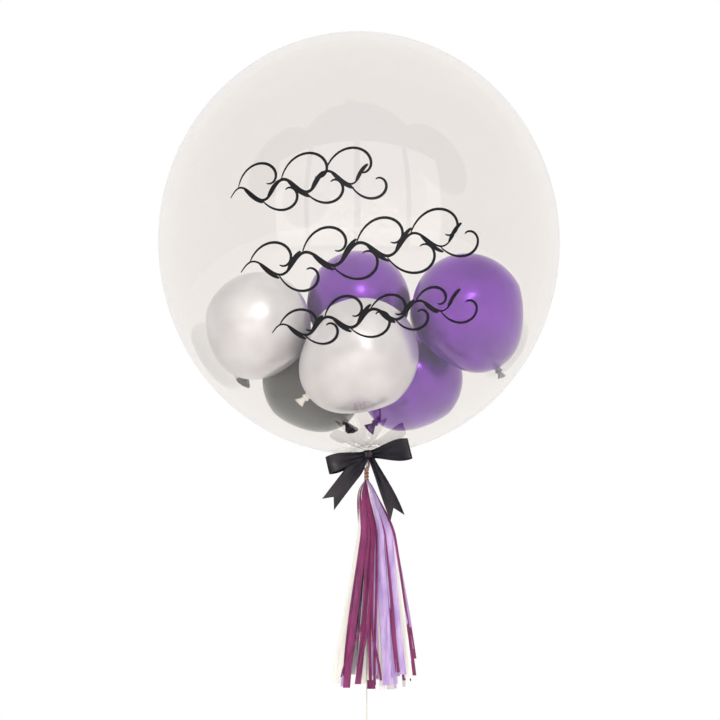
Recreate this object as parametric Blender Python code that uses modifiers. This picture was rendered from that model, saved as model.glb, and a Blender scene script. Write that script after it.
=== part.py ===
"""A helium bubble balloon floating upright on its string, with a satin bow and a tissue tassel.

Metres, +Z up. The origin is the point inside the tie loop, at the string's lower end, where a
hook or weight holds the balloon down. The bow is tied at the front, which faces -Y.
The clear balloon is sealed, so it is solid here, and everything below its neck hangs on one
straight string.
"""

import math

import bmesh
import bpy
from mathutils import Matrix, Vector
from mathutils.geometry import interpolate_bezier

# Driving dimensions of the balloon
BUBBLE_RADIUS = 0.285
BUBBLE_RISE = 0.2998          # from the widest level up to the top
BUBBLE_DROP = 0.3025          # from the widest level down to where the film's curve would close
BUBBLE_LEAN = math.radians(2.0)
NECK_HEIGHT = 0.399           # the balloon's lowest point, above the tie loop
DRAWN_IN_RADIUS = 0.036       # inside it the film is drawn flat towards the stem
PLEAT_RADIUS = 0.060          # how far the gathers of the film reach from the neck
PLEAT_DEPTH = 0.0012
PLEATS = 8
STEM_RADIUS = 0.006
STEM_END = 0.3862             # height of the stem's cut end
FLARE_RADIUS = 0.004          # where the film turns down into the stem
SIDES_ROUND = 64
RINGS_ABOVE, RINGS_BELOW = 13, 12

# Driving dimensions of the satin bow
RIBBON_WIDTH = 0.0225
RIBBON_THICKNESS = 0.0008
KNOT_CENTRE = Vector((0.0027, -0.0150, 0.3906))
KNOT_SIZE = Vector((0.0170, 0.0130, 0.0122))
KNOT_ROUNDING = 0.0045
WRAP_RADIUS = 0.009
WRAP_TOP = 0.3956
WRAP_CLEARANCE = 0.0006
LOOP_TILT = math.radians(13.0)
LEFT_LOOP_REACH = Vector((-0.0562, -0.0180, -0.0185))
RIGHT_LOOP_REACH = Vector((0.0560, -0.0410, 0.0010))
LOOP_DEPTH = 0.0175           # how far a loop's front and back runs part
LEFT_TAIL_TIP = Vector((-0.0524, -0.0400, 0.3177))
RIGHT_TAIL_TIP = Vector((0.0417, -0.0400, 0.2990))

# Driving dimensions of the tassel
TASSEL_TOP = 0.3563
TASSEL_LENGTH = 0.289
TASSEL_FLARE = 0.054          # how far the strips' lower ends stand out from the head
FLARE_POWER = 0.72            # under 1, so the head swells quickly
TASSEL_DRIFT = 0.0125         # the tassel hangs a little to the right of the string
SKIRT_LENGTH = 0.06           # the uncut share of the tissue, just under the head
STRIP_WIDTH = 0.012
STRIP_SHARE = 0.36            # half a strip's share of the space round the head
UNEVEN_ENDS = 0.06            # the shortest strip is this share shorter than the longest
TISSUE_THICKNESS = 0.0008
TWIST_RADIUS = 0.0036
TWIST_RIDGE = 0.14
EYE_CENTRE = Vector((-0.0010, -0.0058, 0.3782))
EYE_WIDTH = 0.0104
EYE_HEIGHT = 0.0146
EYE_CORD_RADIUS = 0.0021
EYE_LEAN = math.radians(17.0)

# Driving dimensions of the string
STRING_RADIUS = 0.0008
STRING_POINTS = 24
TIE_KNOT_HEIGHT = 0.0262
TIE_KNOT_RADIUS = 0.0026
TIE_EYE_WIDTH = 0.011
TIE_EYE_TAPER = 0.62          # how much narrower the eye is at its knot than at its foot

GAP = 0.0003                  # between neighbours that touch
MERGE = 0.00005

# Colour, roughness and metallic of each material
FINISHES = {
    "clear_film": ((0.93, 0.91, 0.89), 0.05, 0.0),
    "black_satin": ((0.008, 0.009, 0.014), 0.35, 0.0),
    "rose_twist": ((0.36, 0.20, 0.14), 0.45, 0.3),
    "plum_tissue": ((0.26, 0.02, 0.13), 0.75, 0.0),
    "lavender_tissue": ((0.46, 0.28, 0.66), 0.75, 0.0),
    "ivory_tissue": ((0.82, 0.80, 0.72), 0.75, 0.0),
    "pale_string": ((0.72, 0.68, 0.60), 0.6, 0.0),
}


def clear_scene():
    for old in list(bpy.data.objects):
        bpy.data.objects.remove(old, do_unlink=True)


def new_collection(name):
    collection = bpy.data.collections.new(name)
    bpy.context.scene.collection.children.link(collection)
    return collection


def move_to(collection, obj):
    for old in list(obj.users_collection):
        old.objects.unlink(obj)
    collection.objects.link(obj)


def finish(name):
    """The Principled material of one finish."""
    colour, roughness, metallic = FINISHES[name]
    material = bpy.data.materials.new(name)
    material.use_nodes = True
    shader = material.node_tree.nodes["Principled BSDF"]
    shader.inputs["Base Color"].default_value = (*colour, 1.0)
    shader.inputs["Roughness"].default_value = roughness
    shader.inputs["Metallic"].default_value = metallic
    return material


def smoothstep(x):
    x = min(max(x, 0.0), 1.0)
    return x * x * (3.0 - 2.0 * x)


def direction(angle):
    """The level unit vector at an angle from +X."""
    return Vector((math.cos(angle), math.sin(angle), 0.0))


def evaluated_mesh(obj):
    """The object's mesh after its modifiers, with loose seams welded."""
    graph = bpy.context.evaluated_depsgraph_get()
    mesh = bpy.data.meshes.new_from_object(obj.evaluated_get(graph))
    work = bmesh.new()
    work.from_mesh(mesh)
    bmesh.ops.remove_doubles(work, verts=work.verts, dist=MERGE)
    bmesh.ops.recalc_face_normals(work, faces=work.faces)
    work.to_mesh(mesh)
    work.free()
    return mesh


def boolean(obj, tool, operation, tools):
    """Add or cut away a tool object, which is kept out of the part."""
    modifier = obj.modifiers.new(operation.lower(), "BOOLEAN")
    modifier.operation = operation
    modifier.solver = "EXACT"
    modifier.object = tool
    move_to(tools, tool)
    tool.hide_render = True
    tool.display_type = "WIRE"


def bubble_profile():
    """Points (radius, height above the neck) from the balloon's top down to the stem's end."""
    lowest = math.acos(DRAWN_IN_RADIUS / BUBBLE_RADIUS)
    centre = BUBBLE_DROP * math.sin(lowest)
    points = [(0.0, centre + BUBBLE_RISE)]
    for i in range(1, RINGS_ABOVE + 1):
        angle = math.pi / 2 * (1 - i / RINGS_ABOVE)
        points.append((BUBBLE_RADIUS * math.cos(angle), centre + BUBBLE_RISE * math.sin(angle)))
    for i in range(1, RINGS_BELOW + 1):
        angle = lowest * i / RINGS_BELOW
        points.append((BUBBLE_RADIUS * math.cos(angle), centre - BUBBLE_DROP * math.sin(angle)))
    flare = STEM_RADIUS + FLARE_RADIUS
    points.append(((DRAWN_IN_RADIUS + flare) / 2, 0.0))
    for i in range(4):
        angle = math.pi / 2 * i / 3
        points.append((flare - FLARE_RADIUS * math.sin(angle), FLARE_RADIUS * (math.cos(angle) - 1)))
    points.append((STEM_RADIUS, STEM_END - NECK_HEIGHT))
    points.append((0.0, STEM_END - NECK_HEIGHT))
    return points


def gather_neck(mesh):
    """Lift the film in narrow folds that run out from the neck and die away."""
    start = STEM_RADIUS + FLARE_RADIUS
    for vertex in mesh.vertices:
        radius = math.hypot(vertex.co.x, vertex.co.y)
        on_lower_film = -MERGE < vertex.co.z < BUBBLE_DROP / 2
        if on_lower_film and start < radius < PLEAT_RADIUS:
            fade = math.sin(math.pi * (radius - start) / (PLEAT_RADIUS - start))
            turn = math.atan2(vertex.co.y, vertex.co.x)
            vertex.co.z += PLEAT_DEPTH * fade * (1 + math.cos(PLEATS * turn)) / 2


def make_bubble(part):
    """The sealed clear balloon: a turned shape, gathered at its neck."""
    points = bubble_profile()
    outline = bpy.data.meshes.new("bubble_outline")
    edges = [(i, i + 1) for i in range(len(points) - 1)]
    outline.from_pydata([(radius, 0.0, z) for radius, z in points], edges, [])
    turned = bpy.data.objects.new("bubble_outline", outline)
    part.objects.link(turned)
    screw = turned.modifiers.new("turn", "SCREW")
    screw.steps = screw.render_steps = SIDES_ROUND
    screw.use_merge_vertices = True
    screw.merge_threshold = MERGE
    bpy.context.view_layer.update()
    mesh = evaluated_mesh(turned)
    bpy.data.objects.remove(turned, do_unlink=True)
    gather_neck(mesh)
    bubble = bpy.data.objects.new("bubble", mesh)
    part.objects.link(bubble)
    bubble.location = (0.0, 0.0, NECK_HEIGHT)
    bubble.rotation_euler = (0.0, -BUBBLE_LEAN, 0.0)
    mesh.materials.append(finish("clear_film"))
    return bubble


def ribbon(name, length_steps, place):
    """A strip of ribbon as an open sheet with Solidify.

    place(t, side) gives the point at t, 0 to 1 along the strip, and side, -1 to 1 across it.
    """
    bpy.ops.mesh.primitive_grid_add(x_subdivisions=length_steps, y_subdivisions=2, size=2)
    strip = bpy.context.object
    strip.name = name
    for vertex in strip.data.vertices:
        vertex.co = place((vertex.co.x + 1) / 2, vertex.co.y)
    sheet = strip.modifiers.new("thickness", "SOLIDIFY")
    sheet.thickness = RIBBON_THICKNESS
    sheet.offset = 0.0
    return strip


def bow_loop(name, reach, skew, end_width):
    """One loop of the bow, out from the knot to the fold at reach, and back behind itself.

    skew is how much higher the front run stands than the back one. end_width is the height
    of the ribbon at the fold, which is a little over its width, because it is twisted there.
    """
    up = Vector((-math.sin(LOOP_TILT), 0.0, math.cos(LOOP_TILT)))
    gathered = KNOT_SIZE.z * 0.8

    def place(t, side):
        out = math.sin(math.pi * t)
        swing = math.sin(2 * math.pi * t)
        width = gathered + (end_width - gathered) * smoothstep(out / 0.85)
        centre = KNOT_CENTRE + reach * out
        centre += Vector((0.0, -LOOP_DEPTH / 2 * swing, skew / 2 * swing))
        return centre + up * side * width / 2

    return ribbon(name, 18, place)


def bow_tail(name, side_sign, pull_start, pull_end, tip, across, spread_by, notch):
    """A free end of the ribbon, on a curve from the knot to its tip, with a swallowtail cut.

    across is its direction from edge to edge. It is gathered in the knot, and flat once it
    has run the share spread_by of its length.
    """
    start = KNOT_CENTRE + Vector((0.003 * side_sign, -0.002, -0.003))
    curve = interpolate_bezier(start, pull_start, pull_end, tip, 33)
    length = sum((b - a).length for a, b in zip(curve, curve[1:]))
    gathered = KNOT_SIZE.z * 0.7

    def place(t, side):
        along = t * (1 - notch / length * (1 - abs(side)))
        position = along * (len(curve) - 1)
        index = min(int(position), len(curve) - 2)
        centre = curve[index].lerp(curve[index + 1], position - index)
        width = gathered + (RIBBON_WIDTH - gathered) * smoothstep(along / spread_by)
        return centre + across.normalized() * side * width / 2

    return ribbon(name, 9, place)


def make_bow(part, tools):
    """The satin ribbon, tied round the stem in one bow: wrap, knot, two loops and two tails."""
    bpy.ops.mesh.primitive_cube_add(size=1, location=KNOT_CENTRE)
    bow = bpy.context.object
    bow.name = "satin_bow"
    bow.data.transform(Matrix.Diagonal((*KNOT_SIZE, 1.0)))
    rounding = bow.modifiers.new("rounding", "BEVEL")
    rounding.width = KNOT_ROUNDING
    rounding.segments = 3
    move_to(part, bow)

    wrap_height = WRAP_TOP - STEM_END
    bpy.ops.mesh.primitive_cylinder_add(vertices=24, radius=WRAP_RADIUS, depth=wrap_height,
                                        location=(0.0, 0.0, STEM_END + wrap_height / 2))
    boolean(bow, bpy.context.object, "UNION", tools)
    pieces = (
        bow_loop("left_loop", LEFT_LOOP_REACH, 0.001, 0.0235),
        bow_loop("right_loop", RIGHT_LOOP_REACH, 0.001, 0.0275),
        bow_tail("left_tail", -1, Vector((-0.010, -0.024, 0.377)), Vector((-0.026, -0.034, 0.354)),
                 LEFT_TAIL_TIP, Vector((0.0163, 0.004, -0.0150)), 0.45, 0.009),
        bow_tail("right_tail", 1, Vector((0.012, -0.024, 0.371)), Vector((0.029, -0.036, 0.335)),
                 RIGHT_TAIL_TIP, Vector((0.0176, 0.006, 0.0088)), 0.95, 0.013),
    )
    for piece in pieces:
        boolean(bow, piece, "UNION", tools)

    bpy.ops.mesh.primitive_cylinder_add(vertices=24, radius=STEM_RADIUS + WRAP_CLEARANCE,
                                        depth=4 * wrap_height, location=(0.0, 0.0, STEM_END))
    boolean(bow, bpy.context.object, "DIFFERENCE", tools)
    bow.data.materials.append(finish("black_satin"))
    return bow


def make_tassel_loop(part, tools):
    """The twisted hanging loop of the tassel: an eye over a two-strand twist round the string."""
    foot = TASSEL_TOP + GAP
    top = EYE_CENTRE.z - EYE_HEIGHT / 2 + EYE_CORD_RADIUS * 1.5
    bpy.ops.mesh.primitive_cylinder_add(vertices=20, radius=TWIST_RADIUS, depth=top - foot,
                                        location=(0.0, 0.0, (top + foot) / 2))
    twist = bpy.context.object
    twist.name = "tassel_loop"
    work = bmesh.new()
    work.from_mesh(twist.data)
    sides = [edge for edge in work.edges if abs(edge.verts[0].co.z - edge.verts[1].co.z) > MERGE]
    bmesh.ops.subdivide_edges(work, edges=sides, cuts=7, use_grid_fill=True)
    for vertex in work.verts:
        around = math.atan2(vertex.co.y, vertex.co.x)
        turned = 2 * math.pi * vertex.co.z / (top - foot)
        swell = 1 + TWIST_RIDGE * math.cos(2 * (around - turned))
        vertex.co.x *= swell
        vertex.co.y *= swell
    work.to_mesh(twist.data)
    work.free()
    move_to(part, twist)

    ring_radius = EYE_WIDTH / 2 - EYE_CORD_RADIUS
    bpy.ops.mesh.primitive_torus_add(
        major_radius=ring_radius, minor_radius=EYE_CORD_RADIUS, major_segments=24,
        minor_segments=8, location=EYE_CENTRE, rotation=(math.pi / 2 + EYE_LEAN, 0.0, 0.0))
    eye = bpy.context.object
    for vertex in eye.data.vertices:
        ring = Vector((vertex.co.x, vertex.co.y)).normalized()
        vertex.co.y += ring.y * (EYE_HEIGHT - EYE_WIDTH) / 2
    boolean(twist, eye, "UNION", tools)

    bpy.ops.mesh.primitive_cylinder_add(vertices=16, radius=STRING_RADIUS + 2 * GAP,
                                        depth=4 * EYE_HEIGHT, location=(0.0, 0.0, top))
    boolean(twist, bpy.context.object, "DIFFERENCE", tools)
    twist.data.materials.append(finish("rose_twist"))
    return twist


def tassel_centre(s):
    """The middle of the tassel at s, 0 at its head to 1 at the longest strip's end."""
    drift = TASSEL_DRIFT * smoothstep((s - 0.02) / 0.26)
    return Vector((drift, 0.0, TASSEL_TOP - TASSEL_LENGTH * s))


def make_fringe(part, name, finish_name, head_radius, reach, angles, left_out=(), drawn_out=()):
    """One folded sheet of tissue: a narrow skirt under the head, cut into hanging strips.

    reach is how far the strips stand out, as a share of the tassel's flare, and angles are
    their directions in degrees from +X. left_out has the numbers of the strips that are cut
    off at the skirt, and drawn_out of those that stand right out at their lower ends. The
    sheet is a grid, wrapped round and closed, without the faces between its strips.
    """
    stations = [0.0, 0.03, SKIRT_LENGTH, 0.10, 0.15, 0.22, 0.31, 0.42, 0.56, 0.70, 0.85, 1.0]
    pitch = (angles[1] - angles[0]) % 360
    half_strip = math.radians(pitch) * STRIP_SHARE

    def place(column, station):
        """The point of a strip's left or right edge."""
        strip, edge = divmod(column, 2)
        shortening = UNEVEN_ENDS * ((strip * 0.618 + head_radius * 300) % 1)
        s = stations[station] * (1 - shortening)
        stands_out = reach
        if strip in drawn_out:
            stands_out += (1 - reach) * smoothstep((s - 0.45) / 0.5)
        radius = head_radius + stands_out * TASSEL_FLARE * s ** FLARE_POWER
        sway = math.radians(3.0) * math.sin(5.0 * s + 2.1 * strip) * s
        heading = math.radians(angles[strip]) + sway
        outward = direction(heading)
        along = direction(heading + math.pi / 2)
        sign = -1 if edge == 0 else 1
        if stations[station] <= SKIRT_LENGTH:
            return tassel_centre(s) + direction(heading + sign * half_strip) * radius
        spread = sign * min(half_strip * radius, STRIP_WIDTH / 2)
        curl = 0.25 * math.sin(4.0 * s + 1.7 * strip) * smoothstep((s - 0.1) / 0.2)
        return tassel_centre(s) + outward * (radius + spread * curl) + along * spread

    columns = 2 * len(angles)
    work = bmesh.new()
    rings = [[work.verts.new(place(column, station)) for column in range(columns)]
             for station in range(len(stations))]
    for station in range(len(stations) - 1):
        for column in range(columns):
            hangs = column % 2 == 0 and column // 2 not in left_out
            if hangs or stations[station] < SKIRT_LENGTH:
                after = (column + 1) % columns
                work.faces.new((rings[station][column], rings[station + 1][column],
                                rings[station + 1][after], rings[station][after]))
    loose = [vertex for vertex in work.verts if not vertex.link_faces]
    bmesh.ops.delete(work, geom=loose, context="VERTS")
    bmesh.ops.recalc_face_normals(work, faces=work.faces)
    mesh = bpy.data.meshes.new(name)
    work.to_mesh(mesh)
    work.free()
    fringe = bpy.data.objects.new(name, mesh)
    part.objects.link(fringe)
    sheet = fringe.modifiers.new("thickness", "SOLIDIFY")
    sheet.thickness = TISSUE_THICKNESS
    sheet.offset = 0.0
    mesh.materials.append(finish(finish_name))


def make_tassel_fringes(part):
    """Three nested sheets: plum outside, lavender in it, ivory innermost.

    The plum leaves the tassel's left open, and there one ivory strip stands right out.
    """
    plum = [222 + 40 * i for i in range(9)]
    lavender = [200 + 45 * i for i in range(8)]
    ivory = [178 + 360 / 7 * i for i in range(7)]
    make_fringe(part, "plum_fringe", "plum_tissue", 0.0050, 1.0, plum, left_out=(8,))
    make_fringe(part, "lavender_fringe", "lavender_tissue", 0.0036, 0.86, lavender)
    make_fringe(part, "ivory_fringe", "ivory_tissue", 0.0022, 0.70, ivory, drawn_out=(0,))


def make_string(part):
    """The straight string from the stem's end, through the tassel, down to the tie knot."""
    top = STEM_END - GAP
    bottom = TIE_KNOT_HEIGHT + TIE_KNOT_RADIUS + GAP
    curve = bpy.data.curves.new("string", "CURVE")
    curve.dimensions = "3D"
    curve.bevel_depth = STRING_RADIUS
    curve.bevel_resolution = 2
    curve.render_resolution_u = 0
    curve.use_fill_caps = True
    line = curve.splines.new("POLY")
    line.points.add(STRING_POINTS - 1)
    for i, point in enumerate(line.points):
        point.co = (0.0, 0.0, top + (bottom - top) * i / (STRING_POINTS - 1), 1.0)
    string = bpy.data.objects.new("string", curve)
    part.objects.link(string)
    curve.materials.append(finish("pale_string"))


def make_tie_loop(part, tools):
    """The eye and knot at the string's lower end. The origin is inside the eye, at its foot."""
    eye_height = TIE_KNOT_HEIGHT + 2 * STRING_RADIUS
    bpy.ops.mesh.primitive_torus_add(
        major_radius=TIE_EYE_WIDTH / 2, minor_radius=STRING_RADIUS, major_segments=28,
        minor_segments=8, rotation=(math.pi / 2, 0.0, 0.0),
        location=(0.0, 0.0, eye_height / 2 - STRING_RADIUS))
    loop = bpy.context.object
    loop.name = "tie_loop"
    move_to(part, loop)
    for vertex in loop.data.vertices:
        ring = Vector((vertex.co.x, vertex.co.y)).normalized()
        section = Vector((vertex.co.x, vertex.co.y)) - ring * TIE_EYE_WIDTH / 2
        width = TIE_EYE_WIDTH * (1 - TIE_EYE_TAPER * smoothstep((ring.y + 0.2) / 1.2))
        vertex.co.x = ring.x * width / 2 + section.x
        vertex.co.y = ring.y * eye_height / 2 + section.y

    bpy.ops.mesh.primitive_uv_sphere_add(segments=14, ring_count=9, radius=TIE_KNOT_RADIUS,
                                         location=(0.0, 0.0, TIE_KNOT_HEIGHT))
    boolean(loop, bpy.context.object, "UNION", tools)
    loop.data.materials.append(finish("pale_string"))
    return loop


def main():
    clear_scene()
    part = new_collection("helium_balloon")
    tools = new_collection("helium_balloon_tools")
    bubble = make_bubble(part)
    bow = make_bow(part, tools)
    twist = make_tassel_loop(part, tools)
    make_tassel_fringes(part)
    make_string(part)
    loop = make_tie_loop(part, tools)
    for smooth in (bubble, bow, twist, loop):
        smooth.data.shade_smooth()
        smooth.data.set_sharp_from_angle(angle=math.radians(40))


main()
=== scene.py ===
"""The looks of a clear helium bubble balloon with a satin bow and a tissue tassel.

Metres, +Z up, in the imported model's own frame. The balloon's front faces -Y.
"""

import math
import random

import bmesh
import bpy
from mathutils import Matrix, Vector
from mathutils.geometry import interpolate_bezier


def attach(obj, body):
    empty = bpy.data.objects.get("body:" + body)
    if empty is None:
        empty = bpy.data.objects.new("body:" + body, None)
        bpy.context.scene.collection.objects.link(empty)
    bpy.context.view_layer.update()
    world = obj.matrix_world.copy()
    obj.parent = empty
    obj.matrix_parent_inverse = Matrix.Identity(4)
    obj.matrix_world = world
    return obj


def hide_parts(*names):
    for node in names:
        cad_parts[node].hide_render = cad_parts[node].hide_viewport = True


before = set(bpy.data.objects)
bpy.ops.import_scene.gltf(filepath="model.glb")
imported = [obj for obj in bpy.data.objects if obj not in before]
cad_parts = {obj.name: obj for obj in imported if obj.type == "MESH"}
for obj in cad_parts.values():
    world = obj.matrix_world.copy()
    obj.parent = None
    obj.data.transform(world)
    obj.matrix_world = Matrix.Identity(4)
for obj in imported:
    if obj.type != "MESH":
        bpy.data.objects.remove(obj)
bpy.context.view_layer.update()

UP = Vector((0.0, 0.0, 1.0))
ACROSS = Vector((1.0, 0.0, 0.0))
FULL_TURN = 2 * math.pi

# How each mesh is finished
WELD_DISTANCE = 1e-6
SPECK_LENGTH = 1e-7           # edges shorter than this are taken out
SHARP_ANGLE = math.radians(50)

# The camera of the photograph, under the balloon's middle and tilted up at it
CAMERA_PLACE = (-0.009011, -2.40, -0.026258)
CAMERA_TILT = math.radians(13.0)
CAMERA_LENS = 87.75
SENSOR = 36.0

# The string
STRING_DIAMETER = 0.0016
STRING_TOP = 0.3859
STRING_FOOT = 0.0291
STRING_STEP = 0.0009
STRING_TWIST = 0.0042         # one turn of its two strands
STRING_SIDES = 10
STRING_CORE = 0.9             # mean radius, as a share of half the diameter
STRAND_RIDGE = 0.16

# The clear film
FILM_INSET = 0.0005           # so it stays inside the solid it stands for
FILM_THICKNESS = 0.0003
BUBBLE_RADIUS = 0.285 - FILM_INSET
BUBBLE_RISE = 0.2998 - FILM_INSET
BUBBLE_DROP = 0.3025 - FILM_INSET
BUBBLE_LEAN = math.radians(2.0)
NECK_HEIGHT = 0.399 + FILM_INSET
DRAWN_IN_RADIUS = 0.036
DRAWN_IN_DIP = 0.0030
DIP_START = 0.72              # share of the way in to the stem
STEM_RADIUS = 0.0056
STEM_TOP_DEPTH = 0.0045       # under the neck
STEM_LENGTH = NECK_HEIGHT - STEM_TOP_DEPTH - STRING_TOP
GATHER_RADIUS = 0.082
GATHER_START = 0.014          # the gathers rise to their full depth over this width
GATHER_DEPTH = 0.0030
BROAD_FOLDS, FINE_FOLDS = 17, 29
FILM_SIDES = 180
FILM_RINGS = 96

# The small balloons sealed inside
LATEX_REACH = 0.2825          # their skins stay inside this distance from the film's middle
VIEW_RISE = math.radians(16.8)  # the angle at which the photograph looks up at the film
SETTLE_ROUNDS = 160
LATEX_SIDES, LATEX_RINGS = 40, 30
CROWN_SHARE = 1.05            # from the balloon's middle to its crown, in radii
END_SHARE = 1.12              # and to the end of its pear shape
PEAR_DRAW = 0.10
# radius of each ring of the neck, and its depth under the pear's end
NECK_RINGS = ((0.0052, 0.0005), (0.0034, 0.0030), (0.0030, 0.0050))
ROLL_RADIUS, ROLL_THICKNESS, ROLL_DEPTH = 0.0034, 0.0021, 0.0052
ROLL_STEPS, ROLL_SIDES = 16, 8
LIP_SIDES, LIP_RINGS, LIP_WAVES = 30, 6, 7
LIP_RADIUS, LIP_DEPTH = 0.0022, 0.0050
LIP_SPREAD = 0.55             # its edge's radius, as a share of its length
LIP_FLATTENING = 0.55
LIP_RIPPLE = 0.10
# the lip's inner edge, a little inside its outer one, and the bottom of its hollow
INNER_RADIUS, INNER_DEPTH, INNER_SPREAD, INNER_FLAT = 0.0010, 0.0046, 0.52, 0.42
HOLLOW_RADIUS, HOLLOW_DEPTH = 0.0012, 0.0060

# The flourishes of thin vinyl
VINYL_THICKNESS = 0.00012
VINYL_LIFT = 0.00022          # of the vinyl's middle off the film's outer face
FLOURISH_SLANT = math.radians(10.0)
WAVE_LENGTH = 0.062
WAVE_HEIGHT = 0.30            # share of the row's height
VINE_STEPS = 110
VINE_WIDTH, CURL_WIDTH, LEAF_WIDTH = 0.0042, 0.0038, 0.0052
CURL_STEPS, LEAF_STEPS = 30, 22
CURL_TURN, LEAF_TURN = 5.2, 0.9
CURL_STRIDE = 0.16            # the first step, as a share of the curl's size
CURL_SHORTENING = 0.72
LEAF_SIZE = 0.42              # share of its curl's size
# left end, height of the left end, length and height of each row
FLOURISH_ROWS = (
    (-0.166, 0.058, 0.172, 0.036),
    (-0.152, -0.038, 0.278, 0.038),
    (-0.112, -0.116, 0.236, 0.031),
)

# The satin bow
RIBBON_WIDTH = 0.0225
RIBBON_THICKNESS = 0.0005
RIBBON_HALF = 8               # points from the ribbon's middle to its edge
KNOT_CENTRE = Vector((0.0027, -0.0150, 0.3906))
KNOT_SIZE = Vector((0.0168, 0.0130, 0.0126))
KNOT_HALF, KNOT_SIDES = 16, 36
KNOT_SQUARENESS = 3.2
WRAP_RADIUS = 0.009
WRAP_HOLE = 0.0061
WRAP_BOTTOM, WRAP_TOP = 0.3864, 0.3954
WRAP_STEPS, WRAP_SIDES = 48, 16
LOOP_TILT = math.radians(13.0)
LOOP_DEPTH = 0.0175
LOOP_SKEW = 0.001
LOOP_STEPS = 64
LOOP_CREASE, LOOP_HOLLOW = 0.0011, 0.0012
TAIL_START = Vector((0.003, -0.002, -0.003))  # from the knot's middle, with X towards its side
TAIL_CURVE_POINTS = 65
TAIL_STEPS = 48
TAIL_CREASE, TAIL_BILLOW = 0.0012, 0.0011

# The tassel
TASSEL_TOP = 0.3563
TASSEL_LENGTH = 0.287
TASSEL_FLARE = 0.054
FLARE_POWER = 0.72
TASSEL_DRIFT = 0.0125
TISSUE_THICKNESS = 0.00012
STRIP_STEPS = 30
STRIP_HALF = 3                # points from a strip's middle to its edge
STRIP_START = 0.0018          # radius at which the strips leave the twist
STRIP_GATHERED = 0.0030       # their width there
STRIP_SWAY, STRIP_ROLL = 0.05, 0.9
STRIP_CRINKLE, STRIP_FOLD = 0.0006, 0.0011
HEAD_LENGTH = 0.075           # share of the tassel's length
HEAD_RADIUS = 0.0022
HEAD_FLARE = 0.80
HEAD_RAGGED = 0.22
HEAD_INNER = 0.97
HEAD_RINGS, HEAD_SIDES = 24, 72
FRONT_FACING = 0.75
CURLED_WIDTH, CURLED_REACH, CURLED_FACING = 0.0036, 1.03, 0.6
# the strips at the back, whose directions are in degrees, those in the tassel's core, and
# the order of colours that both of them follow
BACK_STRIPS, BACK_FROM, BACK_SPAN, BACK_WIDTH = 24, 6, 162, 0.0115
CORE_STRIPS, CORE_WIDTH, CORE_END, CORE_REACH = 9, 0.011, 0.93, 0.42
HIDDEN_ORDER = ("lavender", "plum", "ivory", "plum", "lavender", "ivory")
# colour, direction in degrees, width, lower end, reach of each strip at the front
FRONT_STRIPS = (
    ("ivory", 172, 0.013, 0.955, 1.02), ("ivory", 187, 0.014, 0.960, 0.93),
    ("lavender", 201, 0.009, 0.975, 0.84), ("plum", 213, 0.0035, 0.930, 0.96),
    ("plum", 229, 0.012, 0.985, 0.98), ("ivory", 237, 0.009, 0.965, 0.66),
    ("plum", 248, 0.007, 0.970, 0.96), ("plum", 259, 0.0040, 0.975, 0.99),
    ("ivory", 262, 0.012, 0.950, 0.74), ("lavender", 268, 0.009, 0.930, 0.86),
    ("plum", 273, 0.0035, 0.975, 0.97), ("lavender", 284, 0.0115, 0.975, 0.95),
    ("ivory", 283, 0.009, 0.998, 0.72), ("lavender", 296, 0.005, 0.970, 0.92),
    ("plum", 302, 0.006, 0.915, 0.97), ("ivory", 307, 0.008, 0.955, 0.80),
    ("lavender", 314, 0.0115, 0.925, 0.97), ("plum", 322, 0.009, 0.950, 0.86),
    ("ivory", 329, 0.010, 0.940, 0.95), ("lavender", 337, 0.006, 0.86, 1.00),
    ("plum", 342, 0.009, 0.925, 0.98), ("lavender", 350, 0.009, 0.70, 0.99),
    ("plum", 356, 0.009, 0.845, 1.01),
)
# colour, direction in degrees, lower end, swing of each thin curled strip
CURLED_STRIPS = (
    ("plum", 244, 0.935, -0.62), ("plum", 266, 0.955, 0.22), ("plum", 262, 0.93, -0.20),
    ("lavender", 338, 0.80, 0.40), ("lavender", 292, 0.99, 0.15),
)

# The tassel's hanging loop
LOOP_FOOT = 0.3565
EYE_CENTRE = Vector((-0.0010, -0.0058, 0.3782))
EYE_SIZE = (0.0082, 0.0124)   # width and height along the strand's own middle
EYE_LEAN = math.radians(17.0)
EYE_STEPS = 48
STRAND_RADIUS = 0.0018
STRAND_SIDES = 10
TWISTED_SHARE = 0.92          # of the strand's radius, where two are twisted together
TWIST_RADIUS = 0.0019
TWIST_TURNS = 1.6
TWIST_STEPS = 59

# The studio
PANES, PANE_WIDTH, PANE_HEIGHT = 4, 1.70, 3.9
PANE_RADIANCE = 1.75
PANE_COLOUR = (1.0, 0.985, 0.965)
FIRST_PANE = -2.95
PANE_SPACING = 1.92
PANE_PLACE = (-3.8, 1.65)     # Y and Z
SPARKLE_SIZE = 0.8
SPARKLE_RADIANCE = 11.0
SPARKLE_PLACE = (0.35, -3.4, 1.35)
SPARKLE_PITCH = math.radians(78.0)
BEHIND_CAMERA = (0.26, 0.25, 0.235, 1.0)
BEHIND_BALLOON = (1.0, 0.99, 0.98, 1.0)
WORLD_LIGHT = (0.52, 0.52, 0.52, 1.0)
FLOOR_HEIGHT = -0.45
FLOOR_SIZE = 24


def smoothstep(x):
    x = min(max(x, 0.0), 1.0)
    return x * x * (3.0 - 2.0 * x)


def direction(angle):
    return Vector((math.cos(angle), math.sin(angle), 0.0))


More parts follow.
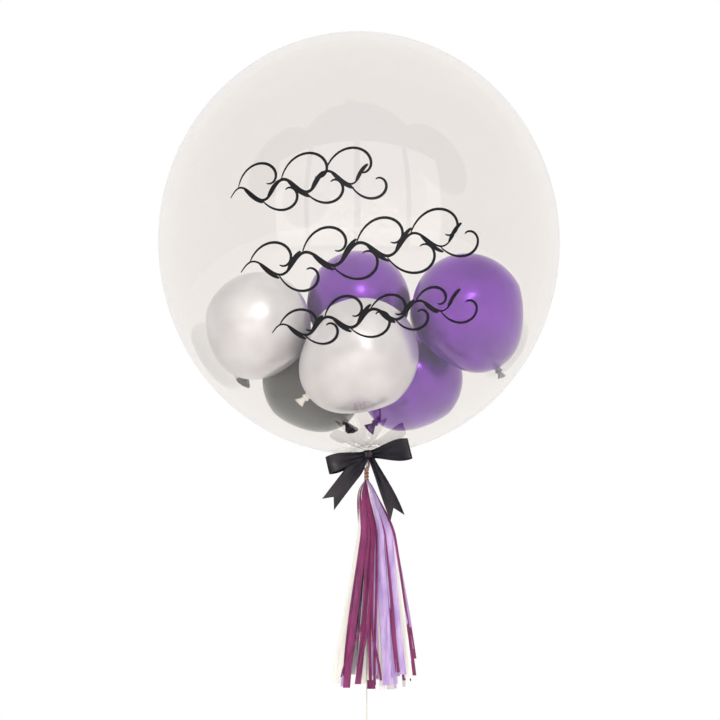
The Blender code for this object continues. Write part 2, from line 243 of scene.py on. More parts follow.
class Shape:
    """Vertices and faces gathered for one piece."""

    def __init__(self):
        self.verts = []
        self.faces = []

    def loft(self, rings, closed=False, caps=True):
        """Joins rings of points, one after another.

        A closed loft joins its last ring to its first. Otherwise caps closes each end with a face.
        """
        start = len(self.verts)
        count = len(rings[0])
        for ring in rings:
            self.verts.extend(ring)
        steps = len(rings) if closed else len(rings) - 1
        for i in range(steps):
            low = start + i * count
            high = start + (i + 1) % len(rings) * count
            for j in range(count):
                k = (j + 1) % count
                self.faces.append((low + j, low + k, high + k, high + j))
        if caps and not closed:
            self.faces.append(tuple(range(start, start + count)))
            last = start + (len(rings) - 1) * count
            self.faces.append(tuple(range(last + count - 1, last - 1, -1)))

    def tube(self, line, radius, sides, closed=False):
        """A round tube along a line of points, which meets its own start where it is closed."""
        rings = []
        side = None
        total = len(line)
        for i, point in enumerate(line):
            before = line[i - 1] if closed or i > 0 else point
            after = line[(i + 1) % total] if closed or i < total - 1 else point
            ahead = (after - before).normalized()
            if side is None:
                side = ahead.orthogonal().normalized()
            side = (side - ahead * side.dot(ahead)).normalized()
            third = ahead.cross(side)
            turns = [FULL_TURN * j / sides for j in range(sides)]
            rings.append([point + (side * math.cos(a) + third * math.sin(a)) * radius for a in turns])
        self.loft(rings, closed=closed)

    def sheet(self, rows, thickness):
        """A thin closed sheet through a grid of points, whose normals come from the grid."""
        wide = len(rows[0])
        rings = []
        for i, row in enumerate(rows):
            above = rows[max(i - 1, 0)]
            below = rows[min(i + 1, len(rows) - 1)]
            front, back = [], []
            for j, point in enumerate(row):
                along = below[j] - above[j]
                side = row[min(j + 1, wide - 1)] - row[max(j - 1, 0)]
                normal = along.cross(side).normalized() * thickness / 2
                front.append(point + normal)
                back.append(point - normal)
            rings.append(front + back[::-1])
        self.loft(rings)

    def piece(self, name, material, slot, replaces=()):
        """The finished piece: welded, facing out, shaded smooth, and riding on the model."""
        mesh = bpy.data.meshes.new(name)
        mesh.from_pydata([tuple(v) for v in self.verts], [], self.faces)
        work = bmesh.new()
        work.from_mesh(mesh)
        bmesh.ops.remove_doubles(work, verts=work.verts, dist=WELD_DISTANCE)
        bmesh.ops.dissolve_degenerate(work, edges=work.edges, dist=SPECK_LENGTH)
        bmesh.ops.recalc_face_normals(work, faces=work.faces)
        work.to_mesh(mesh)
        work.free()
        obj = bpy.data.objects.new(name, mesh)
        bpy.context.scene.collection.objects.link(obj)
        mesh.materials.append(material)
        mesh.shade_smooth()
        mesh.set_sharp_from_angle(angle=SHARP_ANGLE)
        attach(obj, "root")
        if replaces:
            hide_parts(*replaces)
        return obj


def principled(name, **values):
    """A new material and its Principled shader, with plain values on the shader."""
    material = bpy.data.materials.new(name)
    material.use_nodes = True
    shader = material.node_tree.nodes["Principled BSDF"]
    for socket, value in values.items():
        socket = socket.replace("_", " ")
        if isinstance(value, tuple):
            value = (*value, 1.0)
        shader.inputs[socket].default_value = value
    return material, shader


def mottle(material, shader, dark, light, scale, stretch=(1, 1, 1)):
    """Colour that wanders between two tones, over a cloud of the given scale."""
    nodes, links = material.node_tree.nodes, material.node_tree.links
    place = nodes.new("ShaderNodeTexCoord")
    mapping = nodes.new("ShaderNodeMapping")
    mapping.inputs["Scale"].default_value = stretch
    noise = nodes.new("ShaderNodeTexNoise")
    noise.inputs["Scale"].default_value = scale
    noise.inputs["Detail"].default_value = 4.0
    ramp = nodes.new("ShaderNodeValToRGB")
    ramp.color_ramp.elements[0].position = 0.32
    ramp.color_ramp.elements[0].color = (*dark, 1.0)
    ramp.color_ramp.elements[1].position = 0.68
    ramp.color_ramp.elements[1].color = (*light, 1.0)
    links.new(place.outputs["Object"], mapping.inputs["Vector"])
    links.new(mapping.outputs["Vector"], noise.inputs["Vector"])
    links.new(noise.outputs["Fac"], ramp.inputs["Fac"])
    links.new(ramp.outputs["Color"], shader.inputs["Base Color"])
    return mapping


def bump(material, shader, mapping, scale, depth, strength):
    """Fine relief from a second cloud in the same place."""
    nodes, links = material.node_tree.nodes, material.node_tree.links
    noise = nodes.new("ShaderNodeTexNoise")
    noise.inputs["Scale"].default_value = scale
    noise.inputs["Detail"].default_value = 3.0
    relief = nodes.new("ShaderNodeBump")
    relief.inputs["Distance"].default_value = depth
    relief.inputs["Strength"].default_value = strength
    links.new(mapping.outputs["Vector"], noise.inputs["Vector"])
    links.new(noise.outputs["Fac"], relief.inputs["Height"])
    links.new(relief.outputs["Normal"], shader.inputs["Normal"])


def film_material():
    """Clear stretched film, see-through by plain values alone."""
    material, _ = principled("clear_film", Base_Color=(0.915, 0.892, 0.872), Roughness=0.0,
                             IOR=1.47, Transmission_Weight=1.0)
    return material


def latex_material(name, dark, light, metallic, roughness):
    """Stretched latex, with a soft shine under a thin smooth skin."""
    material, shader = principled(name, Metallic=metallic, Roughness=roughness,
                                  Coat_Weight=0.35, Coat_Roughness=0.12)
    mapping = mottle(material, shader, dark, light, 22.0)
    bump(material, shader, mapping, 900.0, 0.00002, 0.08)
    return material


def vinyl_material():
    """Thin black vinyl, nearly dull."""
    material, shader = principled("black_vinyl", Roughness=0.45, Specular_IOR_Level=0.15)
    mottle(material, shader, (0.004, 0.004, 0.006), (0.009, 0.009, 0.011), 90.0)
    return material


def satin_material():
    """Black satin, with a fine weave and a faintly rosy shine."""
    material, shader = principled("black_satin", Roughness=0.34, Sheen_Weight=0.02,
                                  Sheen_Roughness=0.4, Specular_IOR_Level=0.34,
                                  Specular_Tint=(1.0, 0.86, 0.84))
    mapping = mottle(material, shader, (0.0022, 0.0032, 0.0075), (0.0055, 0.0065, 0.012), 60.0)
    bump(material, shader, mapping, 2600.0, 0.00006, 0.35)
    return material


def tissue_material(name, dark, light):
    """Thin tissue paper with fine creases along the strips."""
    material, shader = principled(name, Roughness=0.72, Alpha=0.9, Sheen_Weight=0.15)
    mapping = mottle(material, shader, dark, light, 130.0, (1.0, 1.0, 0.16))
    bump(material, shader, mapping, 700.0, 0.00035, 0.8)
    return material


def thread_material(name, dark, light, roughness, metallic=0.0):
    """Twisted thread or paper, with a grain as fine as its fibres."""
    material, shader = principled(name, Roughness=roughness, Metallic=metallic)
    mapping = mottle(material, shader, dark, light, 900.0)
    bump(material, shader, mapping, 3000.0, 0.00008, 0.6)
    return material


def make_camera():
    camera = bpy.data.objects.new("camera", bpy.data.cameras.new("camera"))
    bpy.context.scene.collection.objects.link(camera)
    camera.location = CAMERA_PLACE
    camera.rotation_euler = (math.pi / 2 + CAMERA_TILT, 0.0, 0.0)
    camera.data.lens = CAMERA_LENS
    camera.data.sensor_width = SENSOR
    bpy.context.scene.camera = camera


def make_string(material):
    """The straight two-strand string, from the stem to the knot of the tie loop."""
    steps = round((STRING_TOP - STRING_FOOT) / STRING_STEP)
    line = [UP * (STRING_TOP + (STRING_FOOT - STRING_TOP) * i / steps) for i in range(steps + 1)]
    rings = []
    for point in line:
        turned = FULL_TURN * point.z / STRING_TWIST
        ring = []
        for j in range(STRING_SIDES):
            around = FULL_TURN * j / STRING_SIDES
            ridge = 1 + STRAND_RIDGE * math.cos(2 * (around - turned))
            ring.append(point + direction(around) * STRING_DIAMETER / 2 * STRING_CORE * ridge)
        rings.append(ring)
    shape = Shape()
    shape.loft(rings)
    string = shape.piece("twisted_string", material, "pale_string", ["string"])
    tie_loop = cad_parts["tie_loop"]
    tie_loop.data.materials.clear()
    tie_loop.data.materials.append(material)


def lean(point):
    """A point of the upright film, leaned as the whole balloon leans, and put on its neck."""
    leaned = Matrix.Rotation(-BUBBLE_LEAN, 3, "Y") @ point
    return leaned + Vector((0.0, 0.0, NECK_HEIGHT))


# The angle under its widest level at which the film is drawn in, that level's height over the
# neck, and its middle
LOWEST = math.acos(DRAWN_IN_RADIUS / BUBBLE_RADIUS)
MIDDLE = BUBBLE_DROP * math.sin(LOWEST)
FILM_CENTRE = lean(Vector((0.0, 0.0, MIDDLE)))


def film_line(inset):
    """Points (radius, height over the neck) down one wall of the film, inset from the outer one."""
    line = [(0.0, MIDDLE + BUBBLE_RISE - inset)]
    for i in range(1, FILM_RINGS + 1):
        angle = math.pi / 2 - (math.pi / 2 + LOWEST) * i / FILM_RINGS
        tall = BUBBLE_RISE if angle > 0 else BUBBLE_DROP
        height = MIDDLE + (tall - inset) * math.sin(angle)
        line.append(((BUBBLE_RADIUS - inset) * math.cos(angle), height))
    stem = STEM_RADIUS - inset
    for share in (0.12, 0.27, 0.42, 0.57, 0.70, 0.81, 0.90, 0.96):
        dip = DRAWN_IN_DIP * smoothstep((share - DIP_START) / (1 - DIP_START))
        line.append((DRAWN_IN_RADIUS + (stem - DRAWN_IN_RADIUS) * share, inset - dip))
    for share in (0.0, 0.35, 0.7, 1.0):
        line.append((stem, inset - STEM_TOP_DEPTH - STEM_LENGTH * share))
    return line


def gather(radius, turn):
    """How far the film is lifted into its gathers at a radius and direction from the neck."""
    reach = GATHER_RADIUS * (0.78 + 0.22 * math.sin(3.0 * turn + 0.8))
    fade = smoothstep((radius - STEM_RADIUS) / GATHER_START) * (1 - smoothstep(radius / reach))
    broad = 0.30 * math.cos(BROAD_FOLDS * turn + 1.3)
    fine = 0.20 * math.cos(FINE_FOLDS * turn + 0.5)
    return GATHER_DEPTH * fade * (0.5 + broad + fine)


def make_film(material):
    """The sealed bubble of film, with two walls, gathered at its neck."""
    rings = []
    outer, inner = film_line(0.0), film_line(FILM_THICKNESS)
    for radius, height in outer + inner[::-1]:
        ring = []
        for j in range(FILM_SIDES):
            turn = FULL_TURN * j / FILM_SIDES
            lift = gather(radius, turn) if height < MIDDLE else 0.0
            ring.append(lean(direction(turn) * radius + UP * (height + lift)))
        rings.append(ring)
    shape = Shape()
    shape.loft(rings, caps=False)
    film = shape.piece("bubble_film", material, "clear_film", ["bubble"])
    # Light passes it untouched, so what is inside is lit as what is outside is
    film.visible_shadow = False
    film.visible_diffuse = False


def seen(right, up, away):
    """A place given by how far right, up and away it is from the film's middle, as seen."""
    upward = Vector((0.0, -math.sin(VIEW_RISE), math.cos(VIEW_RISE)))
    forward = Vector((0.0, math.cos(VIEW_RISE), math.sin(VIEW_RISE)))
    return ACROSS * right + upward * up + forward * away


def settle(balloons):
    """Moves the small balloons apart where they meet, and back inside the film."""
    for _ in range(SETTLE_ROUNDS):
        for i, first in enumerate(balloons):
            for second in balloons[i + 1:]:
                gap = second["centre"] - first["centre"]
                overlap = first["radius"] + second["radius"] - gap.length
                if overlap > 0:
                    push = gap.normalized() * overlap / 2
                    first["centre"] -= push
                    second["centre"] += push
            limit = LATEX_REACH - first["radius"]
            if first["centre"].length > limit:
                first["centre"] *= limit / first["centre"].length


def small_balloon(name, centre, radius, towards_knot, material, knot_material, lip):
    """A latex balloon: a pear shape drawn to a neck, a rolled knot, and a lip of a given length."""
    down = towards_knot.normalized()
    side = down.orthogonal().normalized()
    third = down.cross(side)

    def ring(size, depth, count=LATEX_SIDES, ripple=0.0, flat=1.0):
        points = []
        for j in range(count):
            turn = FULL_TURN * j / count
            wide = size * (1 + ripple * math.sin(LIP_WAVES * turn))
            around = side * math.cos(turn) + third * math.sin(turn) * flat
            points.append(centre + down * depth + around * wide)
        return points

    crown, end = radius * CROWN_SHARE, radius * END_SHARE
    rings = [ring(0.0, -crown)]
    for i in range(1, LATEX_RINGS):
        angle = math.pi * i / LATEX_RINGS
        if angle < math.pi / 2:
            size, depth = radius * math.sin(angle), -crown * math.cos(angle)
        else:
            size = radius * math.sin(angle) * (1 - PEAR_DRAW * math.sin(2 * angle - math.pi))
            depth = -end * math.cos(angle)
        rings.append(ring(size, depth))
    for size, depth in NECK_RINGS:
        rings.append(ring(size, end + depth))
    shape = Shape()
    shape.loft(rings)
    shape.piece(name, material, "clear_film")

    knot = Shape()
    roll = ring(ROLL_RADIUS, end + ROLL_DEPTH, ROLL_STEPS)
    knot.tube(roll, ROLL_THICKNESS, ROLL_SIDES, closed=True)
    flare = [ring(LIP_RADIUS, end + LIP_DEPTH, LIP_SIDES)]
    for i in range(1, LIP_RINGS + 1):
        share = i / LIP_RINGS
        size = LIP_RADIUS + lip * LIP_SPREAD * share ** 1.3
        flare.append(ring(size, end + LIP_DEPTH + lip * share, LIP_SIDES, LIP_RIPPLE * share,
                          1 - LIP_FLATTENING * share))
    flare.append(ring(INNER_RADIUS + lip * INNER_SPREAD, end + INNER_DEPTH + lip, LIP_SIDES,
                      LIP_RIPPLE, INNER_FLAT))
    flare.append(ring(HOLLOW_RADIUS, end + HOLLOW_DEPTH, LIP_SIDES))
    knot.loft(flare)
    knot.piece(name + "_knot", knot_material, "clear_film")


def make_latex():
    """The eight small balloons in the film, where the photograph shows or suggests them."""
    pearl = latex_material("pearl_latex", (0.62, 0.60, 0.61), (0.74, 0.73, 0.74), 0.70, 0.34)
    purple = latex_material("purple_latex", (0.125, 0.007, 0.29), (0.19, 0.018, 0.42), 0.62, 0.29)
    black = latex_material("black_latex", (0.016, 0.017, 0.013), (0.038, 0.040, 0.030), 0.3, 0.28)
    dark = latex_material("dark_knots", (0.020, 0.016, 0.020), (0.035, 0.026, 0.034), 0.0, 0.4)
    violet = latex_material("violet_knots", (0.045, 0.012, 0.10), (0.07, 0.02, 0.14), 0.1, 0.4)
    cream = latex_material("cream_knots", (0.58, 0.55, 0.48), (0.70, 0.67, 0.60), 0.1, 0.4)
    # name, place (right, up, away), radius, way to its knot (right, up, away), finishes, lip
    rows = (
        ("pearl_front", (0.0, -0.160, -0.140), 0.0785, (-0.75, -0.56, -0.25), pearl, cream, 0.012),
        ("pearl_left", (-0.134, -0.122, -0.072), 0.0735, (-0.3, -0.7, 0.6), pearl, cream, 0.012),
        ("purple_back", (0.0, -0.100, 0.090), 0.0765, (0.1, -0.6, 0.8), purple, violet, 0.012),
        ("purple_right", (0.140, -0.112, -0.060), 0.0785, (0.42, -0.85, -0.25), purple, dark, 0.010),
        ("black_low", (-0.056, -0.211, 0.012), 0.0715, (0.55, -0.62, -0.55), black, dark, 0.018),
        ("purple_low", (0.073, -0.204, 0.0), 0.0715, (-0.62, -0.68, -0.35), purple, violet, 0.014),
        ("black_left", (-0.125, -0.125, 0.100), 0.0700, (-0.25, -0.80, -0.50), black, dark, 0.020),
        ("black_right", (0.120, -0.110, 0.095), 0.0700, (-0.10, -0.85, -0.50), black, dark, 0.020),
    )
    balloons = [{"row": row, "centre": seen(*row[1]), "radius": row[2]} for row in rows]
    settle(balloons)
    for balloon in balloons:
        name, _, radius, knot_way, finish, knot_finish, lip = balloon["row"]
        small_balloon(name, FILM_CENTRE + balloon["centre"], radius, seen(*knot_way), finish,
                      knot_finish, lip)


def on_film(right, up, lift):
    """The point of the film's front that is seen there, and the film's normal at it."""
    unlean = Matrix.Rotation(BUBBLE_LEAN, 3, "Y")
    start = unlean @ seen(right, up, -1.0)
    ahead = unlean @ seen(0.0, 0.0, 1.0)
    tall = BUBBLE_RISE if up > 0 else BUBBLE_DROP
    scale = Vector((1 / BUBBLE_RADIUS, 1 / BUBBLE_RADIUS, 1 / tall))
    # In space scaled so, the film is a ball of radius 1, and the line of sight meets it
    scaled_start = Vector(a * b for a, b in zip(start, scale))
    scaled_ahead = Vector(a * b for a, b in zip(ahead, scale))
    half_b = scaled_start.dot(scaled_ahead)
    a, c = scaled_ahead.dot(scaled_ahead), scaled_start.dot(scaled_start) - 1
    distance = (-half_b - math.sqrt(half_b * half_b - a * c)) / a
    local = start + ahead * distance
    normal = Vector(p * s * s for p, s in zip(local, scale)).normalized()
    back = unlean.transposed()
    return FILM_CENTRE + back @ (local + normal * lift), back @ normal


def vinyl_stroke(shape, line, width):
    """One stroke of thin vinyl on the film, widest in its middle, along points (right, up)."""
    rows = []
    places = [on_film(right, up, VINYL_LIFT) for right, up in line]
    for i, (point, normal) in enumerate(places):
        before = places[max(i - 1, 0)][0]
        after = places[min(i + 1, len(places) - 1)][0]
        side = (after - before).cross(normal).normalized()
        share = i / (len(places) - 1)
        wide = width * (0.30 + 0.70 * math.sin(math.pi * share) ** 0.6)
        rows.append([point - side * wide / 2, point, point + side * wide / 2])
    shape.sheet(rows, VINYL_THICKNESS)


def curl(start, heading, size, turn, sense):
    """Points of a curl that winds in from its start, first along heading, in radians."""
    points = []
    place = Vector(start)
    for i in range(CURL_STEPS + 1):
        points.append(tuple(place))
        share = i / CURL_STEPS
        step = size * CURL_STRIDE * (1 - CURL_SHORTENING * share)
        place = place + Vector((math.cos(heading), math.sin(heading))) * step
        heading += sense * turn / CURL_STEPS * (0.6 + 0.8 * share)
    return points


def flourish_row(shape, left, low, length, tall, chance):
    """One rising row: a waving vine, with a curl and a leaf above and below it in turn."""
    waves = round(length / WAVE_LENGTH)

    def vine(share):
        along = length * share
        height = tall * WAVE_HEIGHT * math.sin(FULL_TURN * waves * share)
        return (left + along * math.cos(FLOURISH_SLANT) - height * math.sin(FLOURISH_SLANT),
                low + along * math.sin(FLOURISH_SLANT) + height * math.cos(FLOURISH_SLANT))

    vinyl_stroke(shape, [vine(i / VINE_STEPS) for i in range(VINE_STEPS + 1)], VINE_WIDTH)
    for i in range(2 * waves):
        share = (i + 0.5) / (2 * waves)
        sense = 1 if i % 2 == 0 else -1
        size = tall * chance.uniform(0.72, 0.98)
        heading = FLOURISH_SLANT + sense * chance.uniform(0.9, 1.25)
        curled = curl(vine(share - 0.012), heading, size, CURL_TURN, -sense)
        vinyl_stroke(shape, curled, CURL_WIDTH)
        leaf = curl(vine(share + 0.03), FLOURISH_SLANT - sense, size * LEAF_SIZE, LEAF_TURN, sense)
        vinyl_stroke(shape, leaf[:LEAF_STEPS], LEAF_WIDTH)


def make_flourishes(material):
    """Three rising rows of plain curls and leaves, in black vinyl, that say nothing."""
    for number, row in enumerate(FLOURISH_ROWS):
        shape = Shape()
        flourish_row(shape, *row, random.Random(40 + number))
        shape.piece(f"flourish_row_{number + 1}", material, "black_satin")


def bow_loop(shape, reach, end_width, phase):
    """One loop of the bow, out to its fold at reach and back behind itself."""
    up = Vector((-math.sin(LOOP_TILT), 0.0, math.cos(LOOP_TILT)))
    gathered = KNOT_SIZE.z * 0.8
    rows = []
    for i in range(LOOP_STEPS + 1):
        t = i / LOOP_STEPS
        out = math.sin(math.pi * t)
        swing = math.sin(FULL_TURN * t)
        width = gathered + (end_width - gathered) * smoothstep(out / 0.85)
        centre = KNOT_CENTRE + reach * out
        centre += Vector((0.0, -LOOP_DEPTH / 2 * swing, LOOP_SKEW / 2 * swing))
        row = []
        for j in range(2 * RIBBON_HALF + 1):
            side = j / RIBBON_HALF - 1
            crease = (1 - smoothstep(out / 0.9)) * math.cos(side * 7.5 + phase)
            hollow = LOOP_HOLLOW * smoothstep(out / 0.6) * math.cos(side * 1.7 + 0.6 * phase)
            depth = LOOP_CREASE * crease + hollow * (1 if t < 0.5 else -1)
            row.append(centre + up * side * width / 2 + Vector((0.0, depth, 0.0)))
        rows.append(row)
    shape.sheet(rows, RIBBON_THICKNESS)


def bow_tail(shape, side_sign, pull_start, pull_end, tip, across, spread_by, notch):
    """A free end of the ribbon, from the knot to its swallowtail cut.

    It is spread to its full width at the share spread_by of its length.
    """
    start = KNOT_CENTRE + Vector((side_sign, 1.0, 1.0)) * TAIL_START
    curve = interpolate_bezier(start, pull_start, pull_end, tip, TAIL_CURVE_POINTS)
    length = sum((b - a).length for a, b in zip(curve, curve[1:]))
    gathered = KNOT_SIZE.z * 0.7
    rows = []
    for i in range(TAIL_STEPS + 1):
        row = []
        for j in range(2 * RIBBON_HALF + 1):
            side = j / RIBBON_HALF - 1
            along = i / TAIL_STEPS * (1 - notch / length * (1 - abs(side)))
            position = along * (len(curve) - 1)
            index = min(int(position), len(curve) - 2)
            centre = curve[index].lerp(curve[index + 1], position - index)
            width = gathered + (RIBBON_WIDTH - gathered) * smoothstep(along / spread_by)
            crease = TAIL_CREASE * (1 - smoothstep(along / 0.8)) * math.cos(side * 6 + side_sign)
            billow = TAIL_BILLOW * math.sin(side * 1.6 + 4.5 * along) * smoothstep(along / 0.3)
            row.append(centre + across.normalized() * side * width / 2
                       + Vector((0.0, crease + billow, 0.0)))
        rows.append(row)
    shape.sheet(rows, RIBBON_THICKNESS)


def bow_knot(shape):
    """The bow's knot: a squarish roll of ribbon, with ridges round it."""
    rings = []
    for i in range(2 * KNOT_HALF + 1):
        u = i / KNOT_HALF - 1
        round_off = (1 - abs(u) ** 5) ** 0.4 if abs(u) < 1 else 0.25
        ridge = 1 + 0.035 * math.cos(u * 11.0) + 0.02 * math.cos(u * 23.0)
        size = max(round_off, 0.25) * ridge * (0.93 + 0.05 * math.cos(u * 3.0))
        ring = []
        for j in range(KNOT_SIDES):
            turn = FULL_TURN * j / KNOT_SIDES
            bulk = abs(math.cos(turn)) ** KNOT_SQUARENESS + abs(math.sin(turn)) ** KNOT_SQUARENESS
            flat = bulk ** (-1 / KNOT_SQUARENESS)
            ring.append(KNOT_CENTRE + Vector((u * KNOT_SIZE.x / 2,
                                              math.cos(turn) * flat * size * KNOT_SIZE.y / 2,
                                              math.sin(turn) * flat * size * KNOT_SIZE.z / 2)))
        rings.append(ring)
    shape.loft(rings)


def bow_wrap(shape):
    """The turn of ribbon round the stem, behind the knot."""
    band = []
    middle = (WRAP_BOTTOM + WRAP_TOP) / 2
    half = (WRAP_TOP - WRAP_BOTTOM) / 2
    thick = (WRAP_RADIUS - WRAP_HOLE) / 2
    for j in range(WRAP_STEPS):
        turn = FULL_TURN * j / WRAP_STEPS
        ring = []
        for k in range(WRAP_SIDES):
            a = FULL_TURN * k / WRAP_SIDES
            radius = (WRAP_RADIUS + WRAP_HOLE) / 2 + thick * math.cos(a)
            ring.append(direction(turn) * radius + UP * (middle + half * math.sin(a)))
        band.append(ring)
    shape.loft(band, closed=True)


def make_bow(material):
    """The satin ribbon tied round the stem."""
    shape = Shape()
    bow_knot(shape)
    bow_wrap(shape)
    bow_loop(shape, Vector((-0.0562, -0.0180, -0.0185)), end_width=0.0235, phase=0.4)
    bow_loop(shape, Vector((0.0560, -0.0410, 0.0010)), end_width=0.0275, phase=2.1)
    bow_tail(shape, -1, pull_start=Vector((-0.010, -0.024, 0.377)),
             pull_end=Vector((-0.026, -0.034, 0.354)), tip=Vector((-0.0524, -0.0400, 0.3177)),
             across=Vector((0.0163, 0.004, -0.0150)), spread_by=0.45, notch=0.009)
    bow_tail(shape, 1, pull_start=Vector((0.012, -0.024, 0.371)),
             pull_end=Vector((0.029, -0.036, 0.335)), tip=Vector((0.0417, -0.0400, 0.2990)),
             across=Vector((0.0176, 0.006, 0.0088)), spread_by=0.95, notch=0.013)
    shape.piece("bow_of_ribbon", material, "black_satin", ["satin_bow"])


def make_tassel_loop(material):
    """The hanging loop: two strands twisted round the string, and an eye above them."""
    shape = Shape()
    top = EYE_CENTRE.z - EYE_SIZE[1] / 2
    for strand in range(2):
        line = []
        for i in range(TWIST_STEPS + 1):
            share = i / TWIST_STEPS
            turn = math.pi * strand + FULL_TURN * TWIST_TURNS * share
            height = LOOP_FOOT + 0.001 + (top - LOOP_FOOT) * share
            line.append(direction(turn) * TWIST_RADIUS + UP * height)
        shape.tube(line, STRAND_RADIUS * TWISTED_SHARE, STRAND_SIDES)
    eye = []
    for i in range(EYE_STEPS):
        turn = FULL_TURN * i / EYE_STEPS
        flat = Vector((EYE_SIZE[0] / 2 * math.cos(turn), 0.0, EYE_SIZE[1] / 2 * math.sin(turn)))
        flat.rotate(Matrix.Rotation(EYE_LEAN, 3, "X"))
        wobble = 0.0003 * math.sin(6 * turn)
        eye.append(EYE_CENTRE + flat * (1 + wobble))
    shape.tube(eye, STRAND_RADIUS, STRAND_SIDES, closed=True)
    shape.piece("twisted_loop", material, "rose_twist", ["tassel_loop"])


def tassel_centre(s):
    """The tassel's middle at the share s of its length, which drifts aside under its head."""
    drift = TASSEL_DRIFT * smoothstep((s - 0.02) / 0.26)
    return Vector((drift, 0.0, TASSEL_TOP - TASSEL_LENGTH * s))


def tissue_strip(shape, chance, angle, width, end, reach, face_front=0.0, swing=0.0):
    """One loose strip, which hangs from the head towards angle, in degrees from +X.

    It ends at the share end of the tassel's length, and reach is how far out it hangs, as a
    share of the tassel's flare. face_front is how far it is turned from lying round the tassel
    to facing the front, and swing how far its lower end curls aside, in radians round the
    tassel. It returns the paper's area.
    """
    rows = []
    phases = [chance.uniform(0, FULL_TURN) for _ in range(4)]
    lean_by = chance.uniform(-0.10, 0.10)
    for i in range(STRIP_STEPS + 1):
        s = end * (i / STRIP_STEPS) ** 1.15
        radius = STRIP_START + reach * TASSEL_FLARE * s ** FLARE_POWER
        sway = lean_by * s + STRIP_SWAY * s * math.sin(6 * s + phases[0])
        heading = math.radians(angle) + sway + swing * smoothstep((s / end - 0.72) / 0.3)
        outward, along = direction(heading), direction(heading + math.pi / 2)
        wide = min(width, STRIP_GATHERED + 0.16 * s * width / 0.011)
        centre = tassel_centre(s) + outward * radius
        roll = STRIP_ROLL * math.sin(2.3 * s + phases[1])
        along = along.lerp(ACROSS, face_front * smoothstep(s / 0.25)).normalized()
        row = []
        for j in range(2 * STRIP_HALF + 1):
            side = j / STRIP_HALF - 1
            waving = math.sin(side * 5 + phases[2] + 9 * s)
            crinkle = STRIP_CRINKLE * waving * smoothstep(s / 0.1)
            fold = STRIP_FOLD * math.cos(side * 2.6 + phases[3]) * (1 - 0.6 * s)
            turned = along * math.cos(roll * 0.5) + outward * math.sin(roll * 0.5)
            row.append(centre + turned * side * wide / 2 + outward * (crinkle + fold))
        rows.append(row)
    shape.sheet(rows, TISSUE_THICKNESS)
    return width * end * TASSEL_LENGTH


def tassel_head(shape):
    """The folded paper over the strips' tops, ragged at its lower edge, as one closed skin."""
    outer = []
    for i in range(HEAD_RINGS + 1):
        s = HEAD_LENGTH * i / HEAD_RINGS
        ring = []
        for j in range(HEAD_SIDES):
            turn = FULL_TURN * j / HEAD_SIDES
            fold = 1 + 0.13 * math.sin(7 * turn + 18 * s) + 0.07 * math.sin(13 * turn)
            cut = HEAD_RAGGED * smoothstep(i / HEAD_RINGS) * (0.5 + 0.5 * math.sin(5 * turn + 2))
            radius = (HEAD_RADIUS + HEAD_FLARE * TASSEL_FLARE * s ** FLARE_POWER) * fold
            ring.append(tassel_centre(s * (1 - cut)) + direction(turn) * radius)
        outer.append(ring)
    inner = []
    for ring in outer[::-1]:
        middle = sum(ring, Vector()) / len(ring)
        inner.append([middle + (point - middle) * HEAD_INNER for point in ring])
    shape.loft(outer + inner, closed=True)


def make_tassel():
    """The tassel's loose strips in three colours, and the folded head over them."""
    finishes = {
        "plum": tissue_material("plum_tissue", (0.15, 0.012, 0.075), (0.29, 0.030, 0.150)),
        "lavender": tissue_material("lavender_tissue", (0.37, 0.23, 0.53), (0.62, 0.46, 0.74)),
        "ivory": tissue_material("ivory_tissue", (0.80, 0.77, 0.70), (0.92, 0.90, 0.84)),
    }
    shapes = {colour: Shape() for colour in finishes}
    areas = dict.fromkeys(finishes, 0.0)
    chance = random.Random(7)

    def hang(colour, *strip):
        areas[colour] += tissue_strip(shapes[colour], chance, *strip)

    for colour, *strip in FRONT_STRIPS:
        hang(colour, *strip, FRONT_FACING)
    for colour, angle, end, swing in CURLED_STRIPS:
        hang(colour, angle, CURLED_WIDTH, end, CURLED_REACH, CURLED_FACING, swing)
    for i in range(BACK_STRIPS):
        angle = BACK_FROM + BACK_SPAN * i / (BACK_STRIPS - 1)
        end = chance.uniform(0.90, 0.985)
        reach = 0.96 if i % 2 else 0.78
        hang(HIDDEN_ORDER[i % len(HIDDEN_ORDER)], angle, BACK_WIDTH, end, reach)
    for i in range(CORE_STRIPS):
        colour = HIDDEN_ORDER[(i + 1) % len(HIDDEN_ORDER)]
        hang(colour, 40 * i + 15, CORE_WIDTH, CORE_END, CORE_REACH)
    tassel_head(shapes["plum"])

    for colour, shape in shapes.items():
        piece = shape.piece(f"{colour}_strips", finishes[colour], f"{colour}_tissue",
                            [f"{colour}_fringe"])


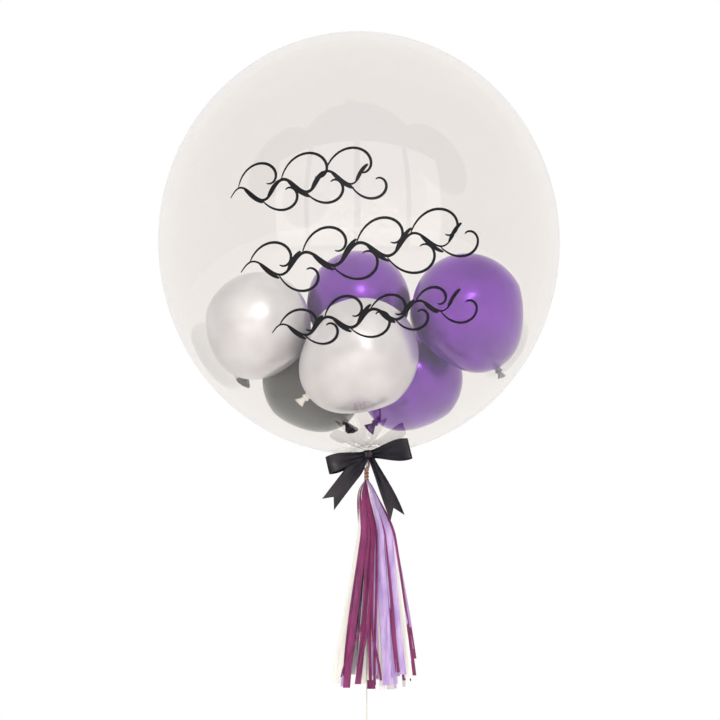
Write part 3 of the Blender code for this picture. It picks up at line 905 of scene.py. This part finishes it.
def make_world():
    """A white surround.

    What mirrors it shows it darker behind the camera, and it lights rough surfaces less than
    it shows.
    """
    world = bpy.data.worlds.new("studio")
    bpy.context.scene.world = world
    world.use_nodes = True
    nodes, links = world.node_tree.nodes, world.node_tree.links
    background = nodes["Background"]
    place = nodes.new("ShaderNodeTexCoord")
    split = nodes.new("ShaderNodeSeparateXYZ")
    ramp = nodes.new("ShaderNodeValToRGB")
    ramp.color_ramp.elements[0].position = 0.25
    ramp.color_ramp.elements[0].color = BEHIND_CAMERA
    ramp.color_ramp.elements[1].position = 0.80
    ramp.color_ramp.elements[1].color = BEHIND_BALLOON
    spread = nodes.new("ShaderNodeMapRange")
    spread.inputs["From Min"].default_value = -1.0
    path = nodes.new("ShaderNodeLightPath")
    not_through = nodes.new("ShaderNodeMath")
    not_through.operation = "SUBTRACT"
    not_through.inputs[0].default_value = 1.0
    reflected = nodes.new("ShaderNodeMath")
    reflected.operation = "MULTIPLY"
    white = nodes.new("ShaderNodeMix")
    white.data_type = "RGBA"
    white.inputs["A"].default_value = (1.0, 1.0, 1.0, 1.0)
    dimmer = nodes.new("ShaderNodeMix")
    dimmer.data_type = "RGBA"
    dimmer.inputs["B"].default_value = WORLD_LIGHT
    links.new(place.outputs["Generated"], split.inputs["Vector"])
    links.new(split.outputs["Y"], spread.inputs["Value"])
    links.new(spread.outputs["Result"], ramp.inputs["Fac"])
    links.new(path.outputs["Is Transmission Ray"], not_through.inputs[1])
    links.new(path.outputs["Is Glossy Ray"], reflected.inputs[0])
    links.new(not_through.outputs["Value"], reflected.inputs[1])
    links.new(reflected.outputs["Value"], white.inputs["Factor"])
    links.new(ramp.outputs["Color"], white.inputs["B"])
    links.new(path.outputs["Is Diffuse Ray"], dimmer.inputs["Factor"])
    links.new(white.outputs["Result"], dimmer.inputs["A"])
    links.new(dimmer.outputs["Result"], background.inputs["Color"])


def area_light(name, width, height, radiance, place, pitch):
    """A rectangular lamp that the camera itself doesn't see."""
    light = bpy.data.lights.new(name, "AREA")
    light.shape = "RECTANGLE"
    light.size = width
    light.size_y = height
    light.energy = radiance * math.pi * width * height
    lamp = bpy.data.objects.new(name, light)
    bpy.context.scene.collection.objects.link(lamp)
    lamp.location = place
    lamp.rotation_euler = (pitch, 0.0, 0.0)
    lamp.visible_camera = False
    return lamp


def make_lights():
    """A row of tall window panes behind the camera, and a lamp for the latex's bright spots."""
    for i in range(PANES):
        place = (FIRST_PANE + PANE_SPACING * i, *PANE_PLACE)
        pane = area_light(f"pane_{i + 1}", PANE_WIDTH, PANE_HEIGHT, PANE_RADIANCE, place,
                          math.pi / 2)
        pane.data.color = PANE_COLOUR
        # The film mirrors the panes, but they don't show through it from behind
        pane.visible_transmission = False
    sparkle = area_light("sparkle", SPARKLE_SIZE, SPARKLE_SIZE, SPARKLE_RADIANCE, SPARKLE_PLACE,
                         SPARKLE_PITCH)
    # So the film neither mirrors the lamp nor shows it
    sparkle.data.cycles.use_multiple_importance_sampling = False


def make_floor():
    bpy.ops.mesh.primitive_plane_add(size=FLOOR_SIZE, location=(0.0, 0.0, FLOOR_HEIGHT))
    floor = bpy.context.object
    floor.name = "floor"
    material, shader = principled("pale_floor", Roughness=0.8, Emission_Color=(1.0, 1.0, 1.0),
                                  Emission_Strength=0.5)
    mottle(material, shader, (0.80, 0.79, 0.78), (0.84, 0.83, 0.82), 0.7)
    floor.data.materials.append(material)


def make_settings():
    """Plain colours, and enough bounces for light to pass the film's walls."""
    scene = bpy.context.scene
    scene.view_settings.view_transform = "Standard"
    scene.cycles.use_denoising = True
    scene.cycles.max_bounces = 24
    scene.cycles.transmission_bounces = 24
    scene.cycles.transparent_max_bounces = 32
    scene.cycles.glossy_bounces = 6
    scene.cycles.diffuse_bounces = 3
    scene.cycles.caustics_reflective = False
    scene.cycles.caustics_refractive = False


def main():
    make_camera()
    make_string(thread_material("pale_string", (0.55, 0.50, 0.43), (0.74, 0.70, 0.62), 0.7))
    make_film(film_material())
    make_latex()
    make_flourishes(vinyl_material())
    make_bow(satin_material())
    make_tassel_loop(thread_material("rose_twist", (0.30, 0.165, 0.12), (0.46, 0.28, 0.20),
                                     0.45, 0.35))
    make_tassel()
    make_world()
    make_lights()
    make_floor()
    make_settings()


main()
